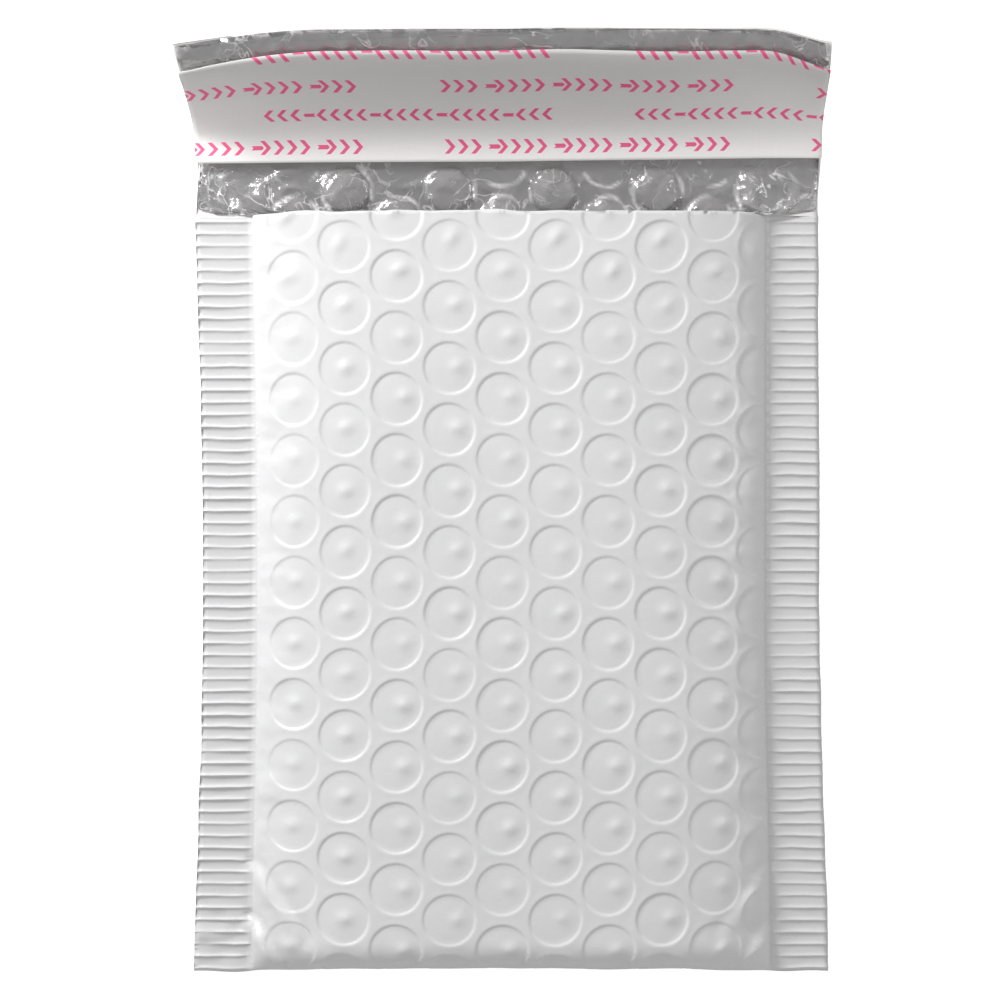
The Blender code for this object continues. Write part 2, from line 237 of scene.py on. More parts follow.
def cornerShort(x, left, right):
    # how much shorter the flap and its liner are towards their corners
    return left * max(0.0, (-x - 0.032) / 0.028) ** 1.6 + right * smooth(0.045, 0.061, x) ** 1.5


def flapPoint(x, s, lift):
    # s runs from the mouth to the flap's tip, and lift stands off its outer face
    span = s / envelope["flapLength"]
    s *= envelope["flapStretch"] - cornerShort(x, *envelope["flapCorners"]) * span
    place = min(max(s, 0.0) / flapStep, len(flapTable) - 1.001)
    i = int(place)
    part = place - i
    out, up, slope = (a + (b - a) * part for a, b in zip(flapTable[i], flapTable[i + 1]))
    lift += backLevel(x) * (1 - rise(s / envelope["flapFlat"]))
    lean = envelope["flapLean"] * span ** 2 + x * envelope["flapSpread"] * span ** 2
    lean -= mouthPull(x) * smooth(0.35, 0.0, span)
    wave = envelope["flapWave"] * span ** 2 * ripple(x, 0, 0.022, 3.0)
    y = mouthY + out - lift * math.sin(slope) + wave
    return Vector((x + lean, y, up + lift * math.cos(slope) + wave))


def mouthPull(x):
    # the right side draws in towards the mouth, the left one stands out a little
    left, right = envelope["mouthPull"][-1], envelope["mouthPull"][1]
    return right * smooth(0.040, 0.060, x) + left * smooth(0.040, 0.060, -x)


def backLevel(x):
    # the back lies on the floor and rises to the seals
    high = envelope["sealLevel"] - envelope["sealHalf"]
    return high * (1 - rise((envelope["sealEdge"] - abs(x)) / envelope["backRun"]))


def mouthWave(x):
    # the front's edge at the mouth wanders a little
    return 0.0005 * ripple(x, 0, 0.016, 7.0) + 0.0003 * ripple(x, 0, 0.006, 9.0)


class Layout:
    # a flat layout of a sheet, triangulated and then lifted into place
    def __init__(self):
        self.flat = []
        self.edges = []
        self.taken = {}

    def add(self, x, v):
        key = (round(x, 7), round(v, 7))
        if key not in self.taken:
            self.taken[key] = len(self.flat)
            self.flat.append(Vector((x, v)))
        return self.taken[key]

    def ring(self, x, v, radius, count):
        for i in range(count):
            angle = 2 * math.pi * i / count
            self.add(x + radius * math.cos(angle), v + radius * math.sin(angle))

    def border(self, left, right, low, high):
        # edges round the layout, so that its rim follows the points put there
        spots = list(enumerate(self.flat))
        runs = (
            sorted((p.x, i) for i, p in spots if abs(p.y - low) < tolerance),
            sorted((p.y, i) for i, p in spots if abs(p.x - right) < tolerance),
            sorted((-p.x, i) for i, p in spots if abs(p.y - high) < tolerance),
            sorted((-p.y, i) for i, p in spots if abs(p.x - left) < tolerance),
        )
        for run in runs:
            line = [i for _, i in run]
            self.edges += list(zip(line, line[1:]))

    def build(self, mesh, place, up, slot=0):
        found = delaunay_2d_cdt(self.flat, self.edges, [], 1, 1e-9)
        corners = [self.flat[o[0]] if o else p for o, p in zip(found[3], found[0])]
        verts = [mesh.verts.new(place(p.x, p.y)) for p in corners]
        for face in found[2]:
            made = mesh.faces.new([verts[i] for i in (face if up else reversed(face))])
            made.material_index = slot
            made.smooth = True
        return [(p.x, p.y, v) for p, v in zip(corners, verts)]


def closeRim(mesh, upper, lower, left, right, low, high, slot=0):
    # joins the rims of a sheet's two faces
    for key, fixed, turn in ((1, low, 1), (0, right, 1), (1, high, -1), (0, left, -1)):
        rims = []
        for face in (upper, lower):
            spots = enumerate(face)
            side = [(one[1 - key] * turn, n) for n, one in spots if abs(one[key] - fixed) < tolerance]
            rims.append([face[n][2] for _, n in sorted(side)])
        over, under = rims
        for a, b, c, d in zip(over, over[1:], under[1:], under):
            mesh.faces.new([b, a, d, c]).material_index = slot


def addPiece(name, mesh, materials, nodes):
    # materials fill the piece's slots in order, and nodes are the frame's parts that it stands for, which
    # are hidden
    data = bpy.data.meshes.new(name)
    mesh.normal_update()
    mesh.to_mesh(data)
    mesh.free()
    for one in materials:
        data.materials.append(one)
    made = bpy.data.objects.new(name, data)
    bpy.context.scene.collection.objects.link(made)
    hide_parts(*nodes)
    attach(made, "root")
    print(name, len(data.polygons), "faces")
    return made


def evenly(start, end, step):
    # places from start to end, about a step apart
    count = max(1, round(abs(end - start) / step))
    return [start + (end - start) * i / count for i in range(count + 1)]


# the bubbles that press into the front and back film, sorted into cells
bubbleGrid = {}
cell = 0.008


def fillBubbleGrid():
    edge = envelope["sealEdge"]
    for x, y in bubbleCentres(envelope["foldY"] - 0.0010, mouthY + 0.006, -edge - 0.002, edge + 0.002):
        key = (round(x / cell), round(y / cell))
        bubbleGrid.setdefault(key, []).append((x, y))


def nearBubble(x, y):
    # the distance to the nearest bubble and its centre
    column, row = round(x / cell), round(y / cell)
    best = None
    for i in (column - 1, column, column + 1):
        for j in (row - 1, row, row + 1):
            for centre in bubbleGrid.get((i, j), ()):
                away = math.hypot(x - centre[0], y - centre[1])
                if best is None or away < best[0]:
                    best = (away, *centre)
    return best


def dentHeight(x, y):
    # a sunk round with a sharp rim, a low dome in it and an oblong nub off its centre
    near = nearBubble(x, y)
    if near is None or near[0] > 0.0062:
        return 0.0
    away, cx, cy = near
    turn = math.atan2(y - cy, x - cx)
    radius = envelope["bubbleRadius"] * (1 + 0.02 * math.sin(2 * turn + cx * 900 + cy * 500))
    edge = envelope["sealEdge"]
    fade = smooth(edge + 0.0005, edge - 0.0045, abs(x)) * smooth(0.0004, 0.0022, y - envelope["foldY"])
    fade *= 0.8 + 0.35 * ripple(cx, cy, 0.009, 4.0)
    sunk = -envelope["dentDepth"] * smooth(radius + 0.00030, radius - 0.00032, away)
    lip = envelope["lipHeight"] * math.exp(-(((away - radius - 0.0005) / 0.0004) ** 2))
    dome = envelope["domeHeight"] * max(0.0, 1 - (away / radius) ** 2)
    top = smooth(mouthY - 0.022, mouthY - 0.006, cy)
    left = smooth(-0.020, -0.036, cx)
    ox = 0.0015 * (1 - left) - 0.0012 * top + 0.0004 * ripple(cx, cy, 0.006, 1.0)
    oy = 0.0002 + 0.0013 * top * (1 - left) + 0.0005 * ripple(cx, cy, 0.006, 2.0)
    spin = 0.7 * top + 0.8 * ripple(cx, cy, 0.007, 5.0)
    dx, dy = x - cx - ox, y - cy - oy
    along = dx * math.cos(spin) + dy * math.sin(spin)
    beside = dy * math.cos(spin) - dx * math.sin(spin)
    nub = envelope["nubHeight"] * (1 + 0.5 * ripple(cx, cy, 0.006, 6.0))
    nub *= math.exp(-((along / (0.0014 + 0.0005 * top)) ** 2) - (beside / 0.0011) ** 2)
    return (sunk + lip + dome + nub) * fade


def wrinkles(x, y):
    # slack film on the panel, tucks beside the seals and gathers above the fold
    edge = envelope["sealEdge"]
    inside = smooth(edge + 0.0002, edge - 0.006, abs(x))
    nearSide = smooth(edge - 0.011, edge - 0.003, abs(x)) * smooth(edge + 0.0001, edge - 0.0012, abs(x))
    nearFoot = smooth(0.012, 0.002, y - envelope["foldY"])
    high = envelope["slackHeight"] * ripple(x, y, 0.030) + 0.00010 * ripple(x, y, 0.009, 2.0)
    high += 0.00003 * ripple(x, y, 0.0028, 6.0)
    tuck = envelope["tuckHeight"] * ripple(x * 0.5, y, 0.0055, 3.0)
    tuck += 0.00022 * ripple(x * 0.6, y, 0.0022, 8.0)
    gather = envelope["gatherHeight"] * ripple(x, y * 0.6, 0.0040, 5.0)
    return high * inside + tuck * nearSide + gather * nearFoot * inside


# each slanting crease: its start and end from the middle line and the fold, and its height
creaseLines = ((0.0488, 0.0190, 0.0405, 0.0082, 0.00050), (0.0490, 0.0085, 0.0445, 0.0015, 0.00070))


def creases(x, y):
    # the slanting folds of slack film where the bottom fold meets each seal
    high = 0.0
    up = y - envelope["foldY"]
    for side, strong in ((-1, 1.7), (1, 0.7)):
        ax = side * x
        if ax < 0.030 or up > 0.026:
            continue
        for ax0, up0, ax1, up1, tall in creaseLines:
            dx, dy = ax1 - ax0, up1 - up0
            share = ((ax - ax0) * dx + (up - up0) * dy) / (dx * dx + dy * dy)
            share = min(max(share, 0.0), 1.0)
            away = math.hypot(ax - ax0 - dx * share, up - up0 - dy * share)
            fade = 0.5 + 0.5 * math.cos(math.pi * (share - 0.3))
            high += strong * tall * math.exp(-((away / 0.0015) ** 2)) * fade
            if (ax - ax0) * dy > (up - up0) * dx:
                high -= strong * tall * 0.5 * math.exp(-((away - 0.0022) / 0.0011) ** 2)
    return high * smooth(0.0, 0.002, up)


def ribHeight(x, y):
    # the welded ribs, with a flick of film and some crumples at the lower corners
    edge = envelope["sealEdge"]
    inner = smooth(edge - 0.0004, edge + 0.0024 + 0.0016 * ripple(0, y, 0.003, 2.0), abs(x))
    bend = 0.00022 * ripple(x, y, 0.012, 4.0) + 0.00010 * ripple(x, y, 0.004, 14.0)
    phase = (mouthY - y + bend) / envelope["ribPitch"]
    away = abs((phase % 1.0) - 0.5)
    wave = max(0.0, 1 - away / 0.15) - 0.12 * smooth(0.16, 0.50, away)
    strong = 0.85 + 0.7 * ripple(x * 0.7, y, 0.007, 11.0)
    high = envelope["ribHeight"] * wave * strong
    up = y - envelope["foldY"]
    flickX, flickUp = envelope["flickPlace"]
    flick = math.exp(-(((x - flickX) / 0.0030) ** 2) - ((up - flickUp) / 0.0020) ** 2)
    high = high * (1 - flick) + envelope["flickHeight"] * flick * smooth(-0.0030, 0.0030, up - flickUp)
    crumple = smooth(0.020, 0.004, up) * (1 if x < 0 else 0.35)
    crumple += smooth(mouthY - 0.010, mouthY - 0.002, y) * 0.35
    high += envelope["crumpleHeight"] * crumple * ripple(x, y, 0.0035, 12.0)
    return high * inner * smooth(mouthY, mouthY - 0.0012, y)


def sidePull(x, y):
    # the sides draw in at mid height and stand out at the fold, and the fold bows up in its middle
    share = (y - envelope["foldY"]) / envelope["bodyLength"]
    side = 1 if x > 0 else -1
    inward = envelope["waist"][side] * math.sin(math.pi * min(max(share, 0.0), 1.0))
    inward -= envelope["footSpread"][side] * smooth(0.5, 0.0, share)
    inward *= (abs(x) / halfWidth) ** 2
    inward += 0.00022 * ripple(0, y, 0.010, 5.0 if x > 0 else 1.0) * smooth(0.050, 0.060, abs(x))
    pulled = x - side * inward - mouthPull(x) * smooth(0.6, 1.0, share)
    lift = 0.0008 * (1 - (x / halfWidth) ** 2) - 0.0004 * math.exp(-(((abs(x) - 0.052) / 0.004) ** 2))
    lift += 0.0003 * ripple(x, 0, 0.012, 6.0)
    return pulled, y + lift * smooth(0.03, 0.0, share)


def archShare(x):
    # how far up the front stands between the seals, 1 in the middle
    share = min(abs(x) / envelope["sealEdge"], 1.0)
    return (1 - share ** 4) ** 0.625


def footShare(y, inset):
    # how far the film has risen from the bottom fold
    return rise((y - envelope["foldY"] - inset) / (envelope["footRun"] - inset))


def pouchPoint(x, v, inset, detail):
    # v is 0 at the bottom fold, below 0 on the front, and above 0 on the back and the flap
    y = envelope["foldY"] + abs(v)
    if v > envelope["bodyLength"]:
        return flapPoint(x, v - envelope["bodyLength"], inset)
    run = envelope["footRun"]
    y += inset * max(0.0, 1 - abs(v) / run)
    edge = envelope["sealEdge"]
    level = envelope["sealLevel"]
    nose = rise(abs(v) / envelope["noseRun"])
    half = max(envelope["sealHalf"] - inset, envelope["thinnest"]) * nose
    if v <= 0:
        low = level + half
        share = archShare(x) if abs(x) < edge else 0.0
        top = low + (envelope["crown"] - envelope["crownDrop"] - low) * share - inset * min(1.0, 8 * share)
        z = low + (top - low) * footShare(y, inset)
        if detail:
            z += dentHeight(x, y) + wrinkles(x, y) + creases(x, y)
            z += ribHeight(x, y) * nose if abs(x) > edge else 0.0
    else:
        high = level - half
        share = rise((edge - abs(x)) / envelope["backRun"])
        z = high - (high - inset) * share * footShare(y, inset)
        if detail:
            z += max(0.0, -dentHeight(x, y)) * 0.8
            z -= ribHeight(x, y) * 0.8 * nose if abs(x) > edge else 0.0
    px, py = sidePull(x, y)
    if v < 0:
        py += mouthWave(x) * smooth(mouthY - 0.030, mouthY, y) * smooth(edge + 0.004, edge - 0.004, abs(x))
    return Vector((px, py, z))


def ribStations():
    # rows that follow each rib's ridge and the flat between two ribs
    body, pitch = envelope["bodyLength"], envelope["ribPitch"]
    rows = [0.0, body]
    for i in range(int(body / pitch) + 1):
        for share in (0.0, 0.18, 0.35, 0.425, 0.5, 0.575, 0.65, 0.82):
            v = body - (i + share) * pitch
            if v > 0.0003:
                rows.append(v)
    return sorted(rows)


def filmBorder(layout, low, high):
    # the same points on the rims of both faces
    for side in (-halfWidth, halfWidth):
        for v in ribStations():
            layout.add(side, v)
            layout.add(side, -v)
        for v in evenly(envelope["bodyLength"], high, 0.0008):
            layout.add(side, v)
    edge = envelope["sealEdge"]
    xs = sorted({*evenly(-halfWidth, halfWidth, 0.0008), -edge, edge})
    for x in xs:
        layout.add(x, low)
        layout.add(x, high)


def wallStations():
    # columns that close up where the film turns into the seals
    edge = envelope["sealEdge"]
    steps = (0.0, 0.00008, 0.0003, 0.0008, 0.0016, 0.0026, 0.0038, 0.0052)
    return [side * (edge - step) for side in (-1, 1) for step in steps]


def footStations():
    # rows that close up where the film turns round the bottom fold
    shares = (0.03, 0.07, 0.13, 0.22, 0.34, 0.5, 0.7)
    return [0.0, 0.0001, 0.0003, 0.0006, *[envelope["footRun"] * share for share in shares]]


def addFoot(layout, step):
    # rows round the bottom fold, front and back
    for v in footStations():
        for x in [*evenly(-envelope["sealEdge"], envelope["sealEdge"], step), *wallStations()]:
            layout.add(x, v)
            layout.add(x, -v)


def addFrontRing(layout, x, y, radius, count, turn=0.0):
    # the part of a ring about a bubble that lies on the front panel
    foldY = envelope["foldY"]
    for i in range(count):
        angle = 2 * math.pi * (i + turn) / count
        px, py = x + radius * math.cos(angle), y + radius * math.sin(angle)
        if abs(px) < panelHalf and foldY + 0.0006 < py < mouthY - 0.0003:
            layout.add(px, foldY - py)


def addDents(layout):
    # close rings along each dent's rim, wider ones inside, and coarse ones on the back
    edge, foldY = envelope["sealEdge"], envelope["foldY"]
    radius = envelope["bubbleRadius"]
    for x, y in bubbleCentres(foldY - 0.0010, mouthY + 0.006, -edge - 0.002, edge + 0.002):
        for offset in (0.0008, 0.0004, 0.0002, 0.0, -0.0002, -0.0004):
            addFrontRing(layout, x, y, radius + offset, 36, 0.5)
        for inner, count in ((0.0036, 20), (0.0028, 20), (0.0021, 18), (0.0014, 16), (0.0007, 8), (0.0, 1)):
            addFrontRing(layout, x, y, inner, count)
        if abs(x) < edge - 0.003 and y < mouthY - 0.006:
            for inner, count in ((radius + 0.0004, 20), (radius - 0.0004, 20), (0.002, 8)):
                layout.ring(x, y - foldY, inner, count)


def addPanel(layout):
    # a plain grid between the dents, and closer columns up the walls
    foldY = envelope["foldY"]
    clear = envelope["bubbleRadius"] + 0.0011
    for x in evenly(-panelHalf, panelHalf, 0.0011):
        for y in evenly(foldY + 0.0045, mouthY - 0.0006, 0.0011):
            near = nearBubble(x, y)
            if near is None or near[0] > clear:
                layout.add(x, foldY - y)
    for x in wallStations():
        for y in evenly(foldY, mouthY, 0.0009):
            near = nearBubble(x, y)
            if abs(x) >= panelHalf - 0.0009 or near is None or near[0] > clear:
                layout.add(x, foldY - y)
            layout.add(x, y - foldY)


def addSeals(layout):
    # rows along the ribs, front and back
    for x in evenly(envelope["sealEdge"], halfWidth, 0.0011):
        for v in ribStations():
            for side in (-1, 1):
                layout.add(side * x, -v)
                layout.add(side * x, v)


def makeFilm(materials):
    body = envelope["bodyLength"]
    edge = envelope["sealEdge"]
    high = body + envelope["flapLength"]
    outer = Layout()
    filmBorder(outer, -body, high)
    addFoot(outer, 0.0010)
    addDents(outer)
    addPanel(outer)
    addSeals(outer)
    for x in evenly(-halfWidth, halfWidth, 0.003):
        for v in evenly(body + 0.0002, high, 0.002):
            outer.add(x, v)
    outer.border(-halfWidth, halfWidth, -body, high)
    inner = Layout()
    filmBorder(inner, -body, high)
    addFoot(inner, 0.004)
    for x in [*evenly(-edge, edge, 0.004), *wallStations(), -edge - 0.003, edge + 0.003]:
        for v in evenly(0.005, body, 0.004):
            inner.add(x, v)
            inner.add(x, -v)
    for x in evenly(-halfWidth, halfWidth, 0.0012):
        for v in evenly(body + 0.0002, high, 0.0011):
            inner.add(x, v)
    inner.border(-halfWidth, halfWidth, -body, high)
    mesh = bmesh.new()

    def placeInner(x, v):
        lift = envelope["filmThick"]
        if v > body:
            s = v - body
            lift += 0.00012 * ripple(x, s, 0.004, 3.0) * smooth(0.001, 0.004, s)
        return pouchPoint(x, v, lift, False)

    over = inner.build(mesh, placeInner, True, 1)
    under = outer.build(mesh, lambda x, v: pouchPoint(x, v, 0.0, True), False, 0)
    closeRim(mesh, over, under, -halfWidth, halfWidth, -body, high, 0)
    for face in mesh.faces:
        middle = face.calc_center_median()
        if face.material_index == 0 and abs(middle.x) > edge and middle.y < mouthY:
            face.material_index = 2
    return addPiece("film_pouch", mesh, materials, ["outer_film"])


# the clear bubble film: caps in the pocket's mouth, pressed flat and creased along the flap
lining = {
    "sheet": 0.00018,
    "lift": 0.00058,
    "capHeight": 0.0015,
    "halfWidth": 0.0487,
    "flapHalf": 0.0596,
    "flapEnd": 0.0397,
    "creaseHeight": 0.00085,
    # width of the painted highlight ring about each bubble past the mouth
    "paintedRingWidth": 0.00035,
}


def creaseHeight(x, s, size, seed):
    # sharp folds along the lines where the noise crosses zero
    sharp = 1 - abs(ripple(x, s, size, seed)) * 3.2
    fine = 1 - abs(ripple(x, s * 1.3, size * 0.4, seed + 4)) * 3.2
    return max(sharp, 0.0) ** 2 + 0.35 * max(fine, 0.0) ** 2


def nearCaps(x, s):
    # centres of the bubbles about a point past the mouth
    pitch = envelope["bubblePitch"]
    column = round((x - envelope["firstColumn"]) / columnPitch)
    for i in (column - 1, column, column + 1):
        shift = -envelope["firstRow"] - pitch * 0.5 * (i % 2)
        row = round((s - shift) / pitch)
        yield envelope["firstColumn"] + columnPitch * i, shift + row * pitch


def capLift(x, s):
    # height of the bubbles that show past the mouth, slack ones sunk in the middle
    best = 0.0
    for cx, cs in nearCaps(x, s):
        if cs > 0.0085:
            continue
        away = math.hypot(x - cx, s - cs) / (envelope["bubbleRadius"] * 0.96)
        if away < 1:
            full = 0.70 + 0.4 * ripple(cx, cs, 0.008, 2.0)
            slack = 0.30 * max(0.0, 1 - away) * ripple(x, s, 0.004, 9.0)
            best = max(best, (1 - away ** 5) ** 0.7 * (full + slack))
            best += 0.16 * math.exp(-(((away - 0.82) / 0.06) ** 2)) * (0.5 + ripple(x, s, 0.003, 4.0))
    return best * lining["capHeight"]


def paintedRingShare(x, s):
    # painted highlight: how much brighter the film is drawn in a thin broken ring about each bubble past
    # the mouth
    best = 0.0
    radius = envelope["bubbleRadius"] * (1 + 0.08 * ripple(x, s, 0.003, 2.0))
    for cx, cs in nearCaps(x, s):
        away = math.hypot(x - cx, s - cs) - radius
        best = max(best, math.exp(-((away / lining["paintedRingWidth"]) ** 2)))
    broken = smooth(-0.25, 0.35, ripple(x, s, 0.0035, 5.0))
    return best * broken * smooth(0.0095, 0.0080, s) * smooth(-0.004, -0.001, s)


def liningPoint(x, v, top):
    # v runs as for the film: the pocket's two sides, and past the mouth the flap
    body = envelope["bodyLength"]
    s = v - body
    lift = lining["lift"] + (lining["sheet"] if top else 0.0)
    edge = envelope["sealEdge"]
    if s < -0.0005:
        point = pouchPoint(x, max(v, -body), lift + 0.0002, False)
        if v > 0 and s > -0.012 and top:
            point.z += capLift(x, s) * smooth(edge - 0.001, edge - 0.004, abs(x))
        return point
    wide = 1 + (lining["flapHalf"] / lining["halfWidth"] - 1) * smooth(-0.0004, 0.0016, s)
    x *= wide
    crown = smooth(edge - 0.0005, edge - 0.004, abs(x)) * smooth(0.0106, 0.0088, s)
    lift += capLift(x, s) * crown * (1.0 if top else 0.0)
    tip = smooth(0.0350, 0.0368, s)
    mouth = smooth(0.0100, 0.0085, s) * smooth(0.0, 0.0012, s)
    sides = smooth(0.036, 0.050, abs(x))
    high = creaseHeight(x, s, 0.0060, 1.0) * (tip * 0.35 + mouth * (0.5 + 0.5 * sides))
    lift += high * lining["creaseHeight"] + 0.00003 * ripple(x, s, 0.002, 8.0) * (tip + mouth)
    return flapPoint(x, s, lift)


def makeLining(materials):
    body = envelope["bodyLength"]
    half = lining["halfWidth"]
    low, high = -body + 0.0012, body + lining["flapEnd"]
    faces = []
    mesh = bmesh.new()
    paintedRing = mesh.verts.layers.float.new("paintedRing")
    for top in (True, False):
        layout = Layout()
        for x in evenly(-half, half, 0.0012):
            layout.add(x, low)
            layout.add(x, high)
        sides = [*evenly(low, body - 0.012, 0.004), *evenly(body - 0.012, high, 0.0005)]
        stations = footStations()
        for x in (-half, half):
            for v in {*sides, *stations, *[-v for v in stations]}:
                layout.add(x, v)
        for v in [*stations, *evenly(0.008, body - 0.012, 0.006)]:
            walls = [x for x in wallStations() if abs(x) < half]
            for x in [*evenly(-half, half, 0.004), *walls]:
                layout.add(x, v)
                if -v > low:
                    layout.add(x, -v)
        step = 0.00048 if top else 0.0012
        for x in evenly(-half, half, step):
            for v in [*evenly(body - 0.010, body + 0.0105, step), *evenly(body + 0.0345, high, step)]:
                layout.add(x, v)
        for x in evenly(-half, half, 0.002):
            for v in evenly(body + 0.012, body + 0.034, 0.002):
                layout.add(x, v)
        layout.border(-half, half, low, high)
        faces.append(layout.build(mesh, lambda x, v: liningPoint(x, v, top), top))
    closeRim(mesh, *faces, -half, half, low, high)
    # painted highlight: the top face keeps each point's share of the bright ring for the clear film's
    # shader
    for x, v, vert in faces[0]:
        vert[paintedRing] = paintedRingShare(x * lining["flapHalf"] / lining["halfWidth"], v - body)
    return addPiece("bubble_film", mesh, materials, ["bubble_lining"])


# the paper strip over the adhesive, its lower edge lifted and its print in plain marks
liner = {
    "start": 0.0104,
    "width": 0.0261,
    "lift": 0.00150,
    "thick": 0.00016,
    "inset": 0.0002,
    "edgeLift": 0.0011,
    "rowPitch": 0.0076,
    "firstRow": 0.0019,
    "markHeight": 0.0032,
    "blockLength": 0.0572,
    "blockPeriod": 0.0700,
    "blockStart": -0.0136,
    "rowShift": -0.0350,
    "markPitch": 0.0025,
    "markGroup": 5,
    "strokeShare": 0.35,
    "strokeSlant": 0.75,
    "barHeight": 0.30,
    "barShare": 0.8,
}


def linerPoint(x, t, top):
    # t runs from the lower edge of the strip to the upper one
    share = t / liner["width"]
    x *= 1 + 0.010 * (1 - share) if x < 0 else 1
    s = liner["start"] + t * (1 - cornerShort(x, 0.05, 0.05))
    s += 0.0010 * (x / halfWidth) * (1 - share) * (1 if x > 0 else 0.3)
    ends = smooth(0.052, 0.060, abs(x))
    lift = liner["lift"] + liner["edgeLift"] * (1 - smooth(0.0, 0.008, t))
    lift += 0.0006 * smooth(0.8, 1.0, share) + 0.00020 * ripple(x, t, 0.018, 3.0)
    lift += 0.0004 * ends * (0.5 + ripple(x, t, 0.008, 6.0)) + 0.0004 * ripple(x, 0, 0.02, 9.0) * share
    lift += 0.00005 * ripple(x, t, 0.004, 12.0)
    s += 0.0007 * ends * smooth(0.7, 1.0, share) * ripple(x, 0, 0.01, 2.0)
    return flapPoint(x, s, lift + (liner["thick"] if top else 0.0))


def makeLiner(materials):
    half = halfWidth - liner["inset"]
    mesh = bmesh.new()
    faces = []
    for top in (True, False):
        layout = Layout()
        for x in evenly(-half, half, 0.0011):
            for t in evenly(0, liner["width"], 0.0008):
                layout.add(x, t)
        layout.border(-half, half, 0, liner["width"])
        faces.append(layout.build(mesh, lambda x, t: linerPoint(x, t, top), top))
    places = {vert: (x, t) for face in faces for x, t, vert in face}
    sheet = mesh.loops.layers.uv.new("strip")
    closeRim(mesh, *faces, -half, half, 0, liner["width"])
    for face in mesh.faces:
        for corner in face.loops:
            corner[sheet].uv = places[corner.vert]
    return addPiece("liner_strip", mesh, materials, ["release_liner"])


class Graph:
    # short way to wire shader nodes together
    def __init__(self, tree):
        self.tree = tree

    def node(self, kind, **values):
        made = self.tree.nodes.new(kind)
        for name, value in values.items():
            setattr(made, name, value)
        return made

    def feed(self, socket, value):
        if isinstance(value, bpy.types.NodeSocket):
            self.tree.links.new(value, socket)
        else:
            socket.default_value = value

    def math(self, operation, first, second=0.0, third=0.0):
        made = self.node("ShaderNodeMath", operation=operation)
        for socket, value in zip(made.inputs, (first, second, third)):
            self.feed(socket, value)
        return made.outputs[0]

    def blend(self, share, first, second):
        made = self.node("ShaderNodeMix", data_type="RGBA")
        self.feed(made.inputs["Factor"], share)
        self.feed(made.inputs["A"], first)
        self.feed(made.inputs["B"], second)
        return made.outputs["Result"]


def newMaterial(name):
    made = bpy.data.materials.new(name)
    made.use_nodes = True
    return made, Graph(made.node_tree), made.node_tree.nodes["Principled BSDF"]


def surfaceGroup():
    # fine unevenness that every film here shares: a normal and a value for roughness and tint
    group = bpy.data.node_groups.new("film_surface", "ShaderNodeTree")
    faces = group.interface
    for name in ("Scale", "Height"):
        faces.new_socket(name, in_out="INPUT", socket_type="NodeSocketFloat")
    faces.new_socket("Normal", in_out="OUTPUT", socket_type="NodeSocketVector")
    faces.new_socket("Value", in_out="OUTPUT", socket_type="NodeSocketFloat")
    graph = Graph(group)
    start, stop = graph.node("NodeGroupInput"), graph.node("NodeGroupOutput")
    place = graph.node("ShaderNodeTexCoord")
    cloud = graph.node("ShaderNodeTexNoise")
    graph.feed(cloud.inputs["Vector"], place.outputs["Object"])
    graph.feed(cloud.inputs["Scale"], start.outputs["Scale"])
    cloud.inputs["Detail"].default_value = 4
    bump = graph.node("ShaderNodeBump")
    graph.feed(bump.inputs["Height"], cloud.outputs["Fac"])
    graph.feed(bump.inputs["Distance"], start.outputs["Height"])
    graph.feed(stop.inputs["Normal"], bump.outputs["Normal"])
    graph.feed(stop.inputs["Value"], cloud.outputs["Fac"])
    return group


def useSurface(graph, shader, group, scale, height, smoothest, roughest):
    # gives a shader the shared unevenness, and a roughness between two values
    made = graph.node("ShaderNodeGroup", node_tree=group)
    made.inputs["Scale"].default_value = scale
    made.inputs["Height"].default_value = height
    graph.feed(shader.inputs["Normal"], made.outputs["Normal"])
    spread = graph.node("ShaderNodeMapRange")
    graph.feed(spread.inputs["Value"], made.outputs["Value"])
    spread.inputs["From Min"].default_value = 0.3
    spread.inputs["From Max"].default_value = 0.7
    spread.inputs["To Min"].default_value = smoothest
    spread.inputs["To Max"].default_value = roughest
    graph.feed(shader.inputs["Roughness"], spread.outputs["Result"])
    return made


# colours and strengths of the finishes
look = {
    "film": (0.738, 0.738, 0.744),
    "sealed": (0.70, 0.70, 0.705),
    "filmInside": (0.80, 0.775, 0.76),
    "clear": (0.80, 0.79, 0.80),
    "clearBody": 0.20,
    "clearEdge": 0.55,
    "glint": 3.0,
    # strength of the painted highlight streaks on the clear film
    "paintedStreak": 0.85,
    # strength of the painted highlight rings about the bubbles
    "ring": 0.85,
    "paper": (0.91, 0.89, 0.88),
    "paperDark": (0.85, 0.83, 0.82),
    # painted shade: the paper's colour towards the strip's upper edge
    "paperPaintedShade": (0.68, 0.66, 0.65),
    # strength of the painted light: the paper glows though it is no lamp
    "paperPaintedGlow": 0.16,
    "print": (0.86, 0.12, 0.28),
    "glue": (0.70, 0.64, 0.50),
}


def whiteFilm(group):
    made, graph, shader = newMaterial("white_film")
    useSurface(graph, shader, group, 900, 0.00003, 0.28, 0.42)
    shader.inputs["Base Color"].default_value = (*look["film"], 1)
    shader.inputs["Subsurface Weight"].default_value = 0.06
    shader.inputs["Subsurface Radius"].default_value = (0.001, 0.001, 0.001)
    shader.inputs["Subsurface Scale"].default_value = 0.6
    return made


def sealedFilm(group):
    made, graph, shader = newMaterial("sealed_film")
    useSurface(graph, shader, group, 700, 0.00004, 0.26, 0.40)
    shader.inputs["Base Color"].default_value = (*look["sealed"], 1)
    return made


def greyFilm(group):
    made, graph, shader = newMaterial("grey_film")
    useSurface(graph, shader, group, 700, 0.00005, 0.30, 0.45)
    shader.inputs["Base Color"].default_value = (*look["filmInside"], 1)
    return made


